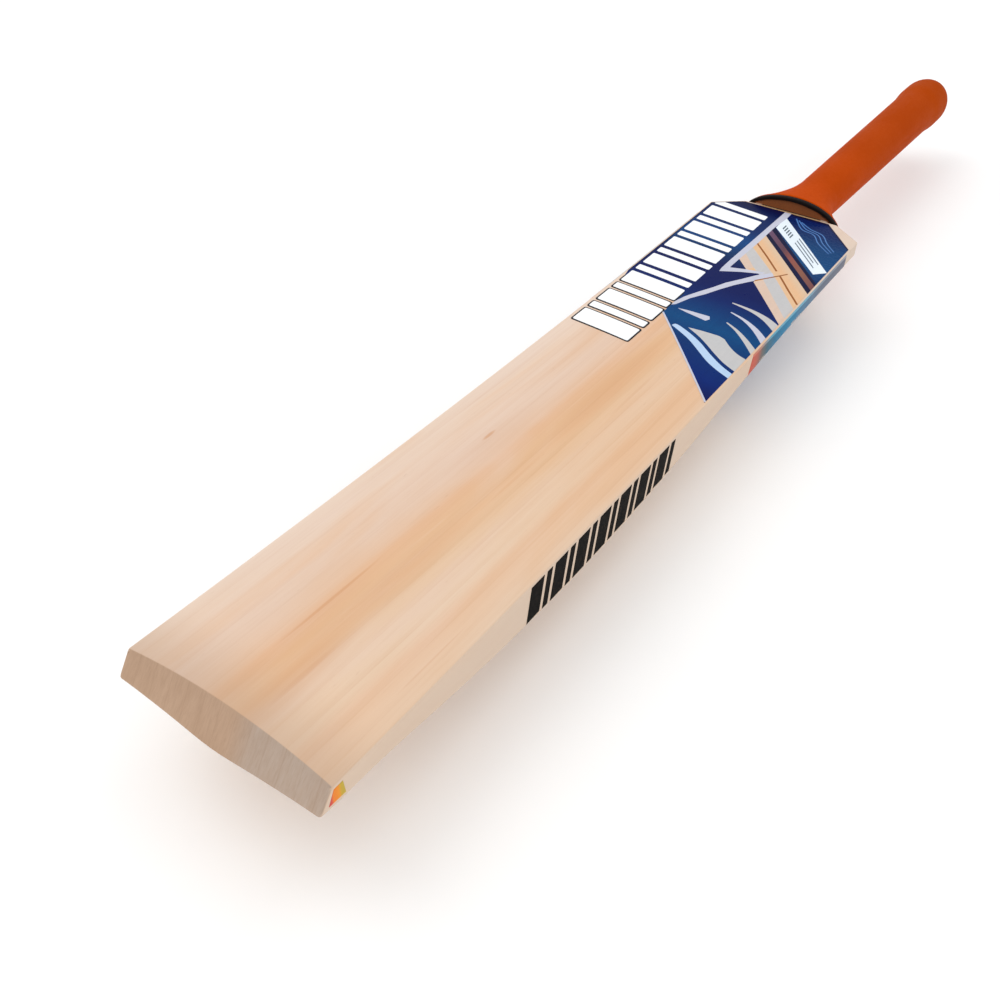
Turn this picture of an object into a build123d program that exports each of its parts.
from build123d import *
import math
import os

os.makedirs("parts", exist_ok=True)

# Cricket bat, short handle, full size. Millimetres.
# Design frame: X across the blade, Y from the toe (0) to the top of the handle, Z out of the playing face.
# At the end everything is shifted so that the origin is the bottom centre of the whole bat's box, lying face up.

# ---------------------------------------------------------------- driving dimensions
TOE_HALF_WIDTH = 54.0          # half of the widest blade the laws allow, 108 mm
SHOULDER_HALF_WIDTH = 53.66
SHOULDER_Y = 525.0             # top of the blade, where the handle comes out
SHOULDER_FLAT = 33.2           # half width of the square part of the shoulder
SHOULDER_CORNER_Y = 509.5      # height of the outer shoulder corners
FACE_BOW = 4.0                 # the face is concave along its length by this much
FACE_CAMBER = 3.0              # the face is convex across its width at the toe by this much
FACE_EDGE_R = 1.0
BACK_EDGE_R = 2.0
TOE_SLOPE = 0.72               # run of the slanted toe cut per mm of depth
TOE_FACE_Z = 4.0

# back corner of the edge: (y, z)
EDGE_BACK = [(-16, -5.6), (-6.7, -6.4), (1, -7.6), (12, -8.3), (22.5, -9.3), (34, -10.8), (46, -12.7), (58, -14.7),
             (71, -16.6), (84.5, -18.5), (99, -20.2), (114, -21.5), (129, -22.7), (146, -23.8), (163, -24.7),
             (181, -25.0), (200, -24.8), (220, -24.3), (240, -23.3), (262, -21.8), (284, -19.8), (308, -17.3),
             (332, -14.7), (358, -12.3), (386, -10.2), (415, -8.6), (447, -7.6), (481, -7.0), (512, -6.5), (530, -6.3)]
# ridge of the back: (y, z)
SPINE = [(-16, -7.6), (-9, -8.2), (0, -9.7), (15, -13.0), (35, -18.4), (60, -26.0), (90, -35.0), (125, -44.0),
         (165, -51.0), (200, -54.6), (230, -55.6), (262, -55.0), (300, -52.0), (345, -46.6), (390, -40.8),
         (435, -35.8), (480, -31.8), (530, -28.6)]
# how the back falls from the ridge (1) to the edge (0), against x over the half width
FLANK = [(0.0, 1.0), (0.07, 0.978), (0.15, 0.895), (0.26, 0.725), (0.40, 0.512), (0.55, 0.325), (0.70, 0.172),
         (0.85, 0.060), (1.0, 0.0)]
STATIONS = [-16 + 27.2 * i for i in range(21)]

# handle: axis parallel to Y
AXIS_Z = -4.4
CANE_TOP_Y = 838.0
# half width and half height of the cane handle's flared foot, under the binding: (y, a, b)
CORE = [(525.0, 32.2, 14.8), (529.5, 31.0, 14.8), (535, 27.2, 14.4), (541, 23.2, 14.0), (548, 19.4, 13.6),
        (556, 16.3, 13.3), (564, 14.4, 13.2), (574, 13.2, 13.2)]
ROUND_FROM = 574.0             # above here the handle is turned
CORE_R = (13.2, 15.15, 15.6, 11.0)      # at 574, 790, 812 and the top
BINDING = 0.8                  # twine layer on the handle
BINDING_FROM, BINDING_TO = 525.4, 830.0
# outer half width and half height of the grip's skirt: (y, a, b)
GRIP = [(529.6, 34.6, 18.3), (535, 30.4, 17.8), (541, 26.4, 17.3), (548, 22.6, 16.9), (556, 19.3, 16.5),
        (564, 17.3, 16.25), (574, 16.15, 16.15)]
GRIP_R_TOP = 18.2              # at 782, where the knob starts to swell
KNOB_R = 19.7                  # cylindrical band of the grip's knob
KNOB_FROM, KNOB_TO = 808.0, 821.0
GRIP_TOP_Y = 843.0
GRIP_MOUTH_R = 9.0             # open top of the grip, where the cane shows

# splice: a V that tapers into the blade
SPLICE_HALF_TOP = 22.0
SPLICE_HALF_TIP = 8.5
SPLICE_TIP_Y = 388.0
INSERT_T = 1.4                 # rubber inserts between the cane slabs
INSERT_OFFSETS = (8.2, 0.0, -8.2)
CANE_CUT_X = 6.0               # the two glue lines that split each slab into three canes

# collar that closes the grip's skirt at the shoulder
COLLAR_Y = (525.4, 529.5)
COLLAR_OUT = (35.2, 18.1)
COLLAR_IN = (33.2, 15.6)

LABEL_T = 0.2                  # vinyl labels
BAR_T = 0.15


# ---------------------------------------------------------------- helpers
def smooth(table, y, col=1):
    """Monotone cubic through a table of (y, values...)."""
    xs = [t[0] for t in table]
    vs = [t[col] for t in table]
    n = len(xs)
    if y <= xs[0]:
        return vs[0]
    if y >= xs[-1]:
        return vs[-1]
    h = [xs[i + 1] - xs[i] for i in range(n - 1)]
    d = [(vs[i + 1] - vs[i]) / h[i] for i in range(n - 1)]
    m = [d[0]] + [0.0] * (n - 2) + [d[-1]]
    for i in range(1, n - 1):
        if d[i - 1] * d[i] > 0:
            w1, w2 = 2 * h[i] + h[i - 1], h[i] + 2 * h[i - 1]
            m[i] = (w1 + w2) / (w1 / d[i - 1] + w2 / d[i])
    i = max(k for k in range(n - 1) if xs[k] <= y)
    t = (y - xs[i]) / h[i]
    return ((2 * t ** 3 - 3 * t ** 2 + 1) * vs[i] + (t ** 3 - 2 * t ** 2 + t) * h[i] * m[i]
            + (-2 * t ** 3 + 3 * t ** 2) * vs[i + 1] + (t ** 3 - t ** 2) * h[i] * m[i + 1])


def half_width(y):
    return TOE_HALF_WIDTH + (SHOULDER_HALF_WIDTH - TOE_HALF_WIDTH) * y / SHOULDER_Y


def face_z(x, y):
    bow = FACE_BOW * ((y - SHOULDER_Y / 2) / (SHOULDER_Y / 2)) ** 2
    camber = FACE_CAMBER * (1 - min(max(y / SHOULDER_Y, 0.0), 1.0) ** 1.5)
    return bow + camber * (1 - (x / half_width(y)) ** 2)


def back_z(x, y):
    zb, zs = smooth(EDGE_BACK, y), smooth(SPINE, y)
    return zb + (zs - zb) * smooth(FLANK, abs(x) / half_width(y))


BACK_U = [1 - BACK_EDGE_R / TOE_HALF_WIDTH, 0.84, 0.70, 0.55, 0.41, 0.29, 0.19, 0.11, 0.05]
BACK_U = BACK_U + [0.0] + [-u for u in reversed(BACK_U)]
BACK_PARAMS = [(BACK_U[0] - u) / (2 * BACK_U[0]) for u in BACK_U]


def blade_section(y):
    """Closed outline of the blade across its length at y. Every section has the same eight edges and parameters."""
    hw = half_width(y)
    rf, rb = FACE_EDGE_R, BACK_EDGE_R
    zt = face_z(hw, y)
    zb = back_z(hw, y)
    w = hw - rf
    ze = face_z(w, y)

    def p(x, z):
        return Vector(x, y, z)

    back = [p(hw * u, back_z(hw * u, y)) for u in BACK_U]
    return Wire([
        Edge.make_bezier(p(-w, ze), p(0, 2 * face_z(0, y) - ze), p(w, ze)),
        Edge.make_bezier(p(w, ze), p(hw, zt), p(hw, zt - rf)),
        Edge.make_line(p(hw, zt - rf), p(hw, zb + rb)),
        Edge.make_bezier(p(hw, zb + rb), p(hw, zb), back[0]),
        Edge.make_spline(back, parameters=BACK_PARAMS),
        Edge.make_bezier(back[-1], p(-hw, zb), p(-hw, zb + rb)),
        Edge.make_line(p(-hw, zb + rb), p(-hw, zt - rf)),
        Edge.make_bezier(p(-hw, zt - rf), p(-hw, zt), p(-w, ze)),
    ])


def oval(y, a, b, z=AXIS_Z):
    """Elliptic wire across the handle at y."""
    pl = Plane(origin=(0, y, z), x_dir=(1, 0, 0), z_dir=(0, 1, 0))
    if abs(a - b) < 1e-6:
        return Wire(Edge.make_circle(a, pl))
    return Wire(Edge.make_ellipse(a, b, pl))


def loft_ovals(table, ruled=False):
    return Solid.make_loft([oval(*t) for t in table], ruled)


def flare(table, y0, grow=0.0, n=7):
    """Foot of the handle or skirt of the grip, through evenly spaced ovals from y0 to where the handle turns round."""
    ys = [y0 + (ROUND_FROM - y0) * i / n for i in range(n + 1)]
    return loft_ovals([(y, smooth([(t[0], t[1]) for t in table], y) + grow,
                        smooth([(t[0], t[2]) for t in table], y) + grow) for y in ys])


def turned(*curves):
    """Solid of revolution about the handle's axis. Each curve is a list of (y, r) control points, end to end."""
    def v(q):
        return Vector(q[1], q[0], AXIS_Z)
    edges = [Edge.make_line(v(c[0]), v(c[1])) if len(c) == 2 else Edge.make_bezier(*[v(q) for q in c]) for c in curves]
    first, last = curves[0][0], curves[-1][-1]
    edges.insert(0, Edge.make_line(Vector(0, first[0], AXIS_Z), v(first)))
    if last[1] > 0:
        edges.append(Edge.make_line(v(last), Vector(0, last[0], AXIS_Z)))
    edges.append(Edge.make_line(Vector(0, last[0], AXIS_Z), Vector(0, first[0], AXIS_Z)))
    return revolve(Face(Wire(edges)), Axis((0, 0, AXIS_Z), (0, 1, 0)), 360)


def prism_z(points, z0, z1):
    """Upright prism over a polygon in plan."""
    f = Face(Wire.make_polygon([Vector(x, y, z0) for x, y in points], close=True))
    return Solid.extrude(f, Vector(0, 0, z1 - z0))


def prism_x(points, x0, x1):
    """Prism along X over a polygon in (y, z)."""
    f = Face(Wire.make_polygon([Vector(x0, y, z) for y, z in points], close=True))
    return Solid.extrude(f, Vector(x1 - x0, 0, 0))


def slab(x0, x1, y0, y1, z0, z1):
    return Pos((x0 + x1) / 2, (y0 + y1) / 2, (z0 + z1) / 2) * Box(x1 - x0, y1 - y0, z1 - z0)


def solids(shape):
    return list(shape.solids())


NODES = {}


def keep(name, shape):
    parts = [s for s in solids(shape) if s.volume > 0.02]
    NODES[name] = parts[0] if len(parts) == 1 else Compound(children=parts)
    NODES[name].label = name


# ---------------------------------------------------------------- blade and splice
blank = Solid.make_loft([blade_section(y) for y in STATIONS], False)
# slanted toe: y = TOE_SLOPE * (z - TOE_FACE_Z)
toe_cut = prism_x([(TOE_SLOPE * (30 - TOE_FACE_Z), 30), (TOE_SLOPE * (-70 - TOE_FACE_Z), -70), (-90, -70), (-90, 30)],
                  -80, 80)
corner_run = (SHOULDER_Y - SHOULDER_CORNER_Y) / (half_width(510) - SHOULDER_FLAT)
outer_y = SHOULDER_Y - corner_run * (70 - SHOULDER_FLAT)
plan = prism_z([(-70, -40), (70, -40), (70, outer_y), (SHOULDER_FLAT, SHOULDER_Y), (-SHOULDER_FLAT, SHOULDER_Y),
                (-70, outer_y)], -90, 60)
blank = (blank & plan) - toe_cut
blank = solids(blank)[0]
full = blank



def handle_core(grow=0.0):
    r0, r1, r2, r3 = (r + grow for r in CORE_R)
    return flare(CORE, SHOULDER_Y, grow) + turned(
        [(ROUND_FROM, r0), (790, r1)],
        [(790, r1), (800, r1 + 0.09), (804, r2), (812, r2)],
        [(812, r2), (822, r2), (833, r3 + 3.2), (CANE_TOP_Y, r3)])


core = handle_core()
bevel = prism_x([(SHOULDER_Y - 1, 4.2), (SHOULDER_Y, 4.2), (SHOULDER_Y + 2.2, 12.6), (SHOULDER_Y + 2.2, 30),
                 (SHOULDER_Y - 1, 30)], -60, 60)
core_above = core - bevel

splice = prism_z([(-SPLICE_HALF_TIP, SPLICE_TIP_Y), (SPLICE_HALF_TIP, SPLICE_TIP_Y), (SPLICE_HALF_TOP, SHOULDER_Y + 5),
                  (-SPLICE_HALF_TOP, SHOULDER_Y + 5)], -90, 60)
block = slab(-SPLICE_HALF_TOP, SPLICE_HALF_TOP, SHOULDER_Y, 900, -60, 60)
splice_top_x = SPLICE_HALF_TOP - (SPLICE_HALF_TOP - SPLICE_HALF_TIP) * 5 / (SHOULDER_Y + 5 - SPLICE_TIP_Y)
block = slab(-splice_top_x, splice_top_x, SHOULDER_Y, 900, -60, 60)

wedge = blank & splice
handle_above = core_above & block
ears = core_above - block
blade = (blank - splice) + ears
keep("blade", blade)

# ---------------------------------------------------------------- laminated cane handle
half = INSERT_T / 2
z_cuts = [AXIS_Z + o for o in INSERT_OFFSETS]
layers = {
    "front": (z_cuts[0] + half, 60),
    "mid_front": (z_cuts[1] + half, z_cuts[0] - half),
    "mid_back": (z_cuts[2] + half, z_cuts[1] - half),
    "back": (-90, z_cuts[2] - half),
}
columns = {"left": (-60, -CANE_CUT_X), "centre": (-CANE_CUT_X, CANE_CUT_X), "right": (CANE_CUT_X, 60)}
for layer, (z0, z1) in layers.items():
    for column, (x0, x1) in columns.items():
        upper = handle_above & slab(x0, x1, SHOULDER_Y - 1, 900, z0, z1)
        if layer == "front":
            piece = upper
        else:
            # below the shoulder the second slab runs up to the face, because the front slab stops there
            piece = (wedge & slab(x0, x1, 300, SHOULDER_Y + 1, z0, 60 if layer == "mid_front" else z1)) + upper
        keep(f"cane_{layer}_{column}", piece)
keep("rubber_insert_front", handle_above & slab(-60, 60, SHOULDER_Y - 1, 900, z_cuts[0] - half, z_cuts[0] + half))
for name, zc in (("rubber_insert_middle", z_cuts[1]), ("rubber_insert_back", z_cuts[2])):
    cut = slab(-60, 60, 300, 900, zc - half, zc + half)
    keep(name, (wedge & cut) + (handle_above & cut))

# ---------------------------------------------------------------- binding, collar and grip
sleeve = handle_core(BINDING) & slab(-60, 60, BINDING_FROM, BINDING_TO, -60, 60)
# the front of the binding's lowest turns is cut back with the cane's bevel
keep("twine_binding", (sleeve - core) - bevel)

y0, y1 = COLLAR_Y
ca, cb = COLLAR_OUT
ring = loft_ovals([(y0, ca - 0.7, cb - 0.7), (y0 + 0.4, ca - 0.2, cb - 0.2), (y0 + 1.2, ca, cb),
                   (y1 - 1.2, ca - 0.1, cb), (y1 - 0.3, ca - 0.35, cb - 0.2), (y1, ca - 0.8, cb - 0.5)], True)
keep("grip_collar", (ring - sleeve) - core)

outer = flare(GRIP, GRIP[0][0]) + turned(
    [(ROUND_FROM, GRIP[-1][1]), (782, GRIP_R_TOP)],
    [(782, GRIP_R_TOP), (796, GRIP_R_TOP + 0.15), (799, KNOB_R), (KNOB_FROM, KNOB_R)],
    [(KNOB_FROM, KNOB_R), (KNOB_TO, KNOB_R)],
    [(KNOB_TO, KNOB_R), (830, KNOB_R), (839, 16.6), (GRIP_TOP_Y - 0.4, 11.6), (GRIP_TOP_Y, 10.0)])
mouth = turned([(800, GRIP_MOUTH_R), (870, GRIP_MOUTH_R)])
keep("rubber_grip", max(solids(outer - sleeve - core - mouth), key=lambda q: q.volume))

# ---------------------------------------------------------------- labels
def skin(faces, prisms, move):
    """Thin solids that lie on the given faces inside the prisms."""
    made = []
    for f in faces:
        for pr in prisms:
            hit = f.intersect(pr)
            if hit is None:
                continue
            hit = hit if isinstance(hit, (list, tuple)) else [hit]
            for h in hit:
                for g in h.faces():
                    made.append(Solid.extrude(g, Vector(*move)))
    return made


def side_of(normal):
    """The blank's largest face that looks along normal."""
    best = [f for f in full.faces() if f.normal_at(f.center()).dot(Vector(*normal)) > 0.9]
    return max(best, key=lambda f: f.area)


FACE, RIGHT, LEFT = side_of((0, 0, 1)), side_of((1, 0, 0)), side_of((-1, 0, 0))
BACK = max([f for f in full.faces() if f.center().Z < -15], key=lambda f: f.area)

# the row of plain slanted bars down the left of the face: (y of the bar's middle, its thickness)
BAR_X = (-50.0, -10.0)
BAR_SLANT = 5.0
BARS = []
_y = 318.0
for _ in range(7):
    BARS.append((_y + 7.4, 14.8))
    BARS.append((_y + 14.8 + 3.6 + 3.1, 6.2))
    _y += 14.8 + 3.6 + 6.2 + 3.6


def bar(y, t, grow=0.0):
    x0, x1 = BAR_X[0] - grow, BAR_X[1] + grow
    s = BAR_SLANT / 2
    return [(x0, y + s - t / 2 - grow), (x1, y - s - t / 2 - grow), (x1, y - s + t / 2 + grow), (x0, y + s + t / 2 + grow)]


PANEL_LEFT = [(-52.4, 391), (-50.9, 384), (-9.0, 384), (-9.0, 355.5), (52.4, 288.5), (52.4, 495), (28.2, 521.5),
              (-33.0, 521.5), (-35.6, 520.2), (-52.4, 507.6)]
panel = prism_z(PANEL_LEFT, -5, 20)
outline = panel
for y, t in BARS:
    if y < 396:
        outline = outline + prism_z(bar(y, t, 1.0), -5, 20)
made = []
for part_of in skin([FACE], solids(outline), (0, 0, LABEL_T)):
    made.append(part_of)
keep("label_face", Compound(children=made) if len(made) > 1 else made[0])
raised = [s.moved(Location((0, 0, LABEL_T))) for s in skin([FACE], [prism_z(bar(y, t), -5, 20) for y, t in BARS],
                                                          (0, 0, BAR_T))]
keep("label_face_bars", Compound(children=raised))

# slanted bars on both edges: (y at the middle, thickness)
EDGE_BARS = []
_y = 123.5
for _ in range(7):
    EDGE_BARS.append((_y + 5.0, 10.0))
    EDGE_BARS.append((_y + 10.0 + 2.4 + 2.1, 4.2))
    _y += 10.0 + 2.4 + 4.2 + 2.4


def edge_bar(y, t):
    lo, hi = smooth(EDGE_BACK, y) + BACK_EDGE_R + 0.2, face_z(54, y) - FACE_EDGE_R - 0.6
    s = 0.17
    return [(y + s * lo - t / 2, lo), (y + s * lo + t / 2, lo), (y + s * hi + t / 2, hi), (y + s * hi - t / 2, hi)]


def edge_panel():
    ys = [346, 360, 376, 392, 410, 430, 450, 470, 490]
    low = [(y, smooth(EDGE_BACK, y) + BACK_EDGE_R + 0.15) for y in ys]
    high = [(y, face_z(54, y) - FACE_EDGE_R - 0.3) for y in ys[1:]]
    return low + high[::-1]


for side, f, sign in (("right", RIGHT, 1), ("left", LEFT, -1)):
    x0, x1 = sorted((sign * 40, sign * 70))
    bars = skin([f], [prism_x(edge_bar(y, t), x0, x1) for y, t in EDGE_BARS], (sign * LABEL_T, 0, 0))
    keep(f"label_edge_{side}_bars", Compound(children=bars))
    wrap = skin([f], [prism_x(edge_panel(), x0, x1)], (sign * LABEL_T, 0, 0))
    keep(f"label_edge_{side}_wrap", wrap[0])
toe_tab = skin([RIGHT], [prism_x([(-3.0, -4.0), (5.6, -5.0), (5.0, 2.4), (0.4, 2.6)], 40, 70)], (LABEL_T, 0, 0))
keep("label_toe_tab", toe_tab[0])
back_outline = [(-44, 392), (-16, 356), (0, 344), (16, 356), (44, 392), (46, 478), (30, 494), (-30, 494), (-46, 478)]
back_label = skin([BACK], [prism_z(back_outline, -80, 0)], (0, 0, -LABEL_T - 0.05))
keep("label_back", back_label[0])

# ---------------------------------------------------------------- to the part's own frame
lo = [min(getattr(s.bounding_box().min, a) for s in NODES.values()) for a in "XYZ"]
hi = [max(getattr(s.bounding_box().max, a) for s in NODES.values()) for a in "XYZ"]
shift = Vector(0, -(lo[1] + hi[1]) / 2, -lo[2])
print("shift", [round(v, 4) for v in shift], "size", [round(hi[i] - lo[i], 3) for i in range(3)])
for name, shape in NODES.items():
    moved = shape.moved(Location(shift))
    moved.label = name
    export_step(moved, f"parts/{name}.step")
    print(name, len(solids(moved)), round(moved.volume / 1000, 2), "cm3")
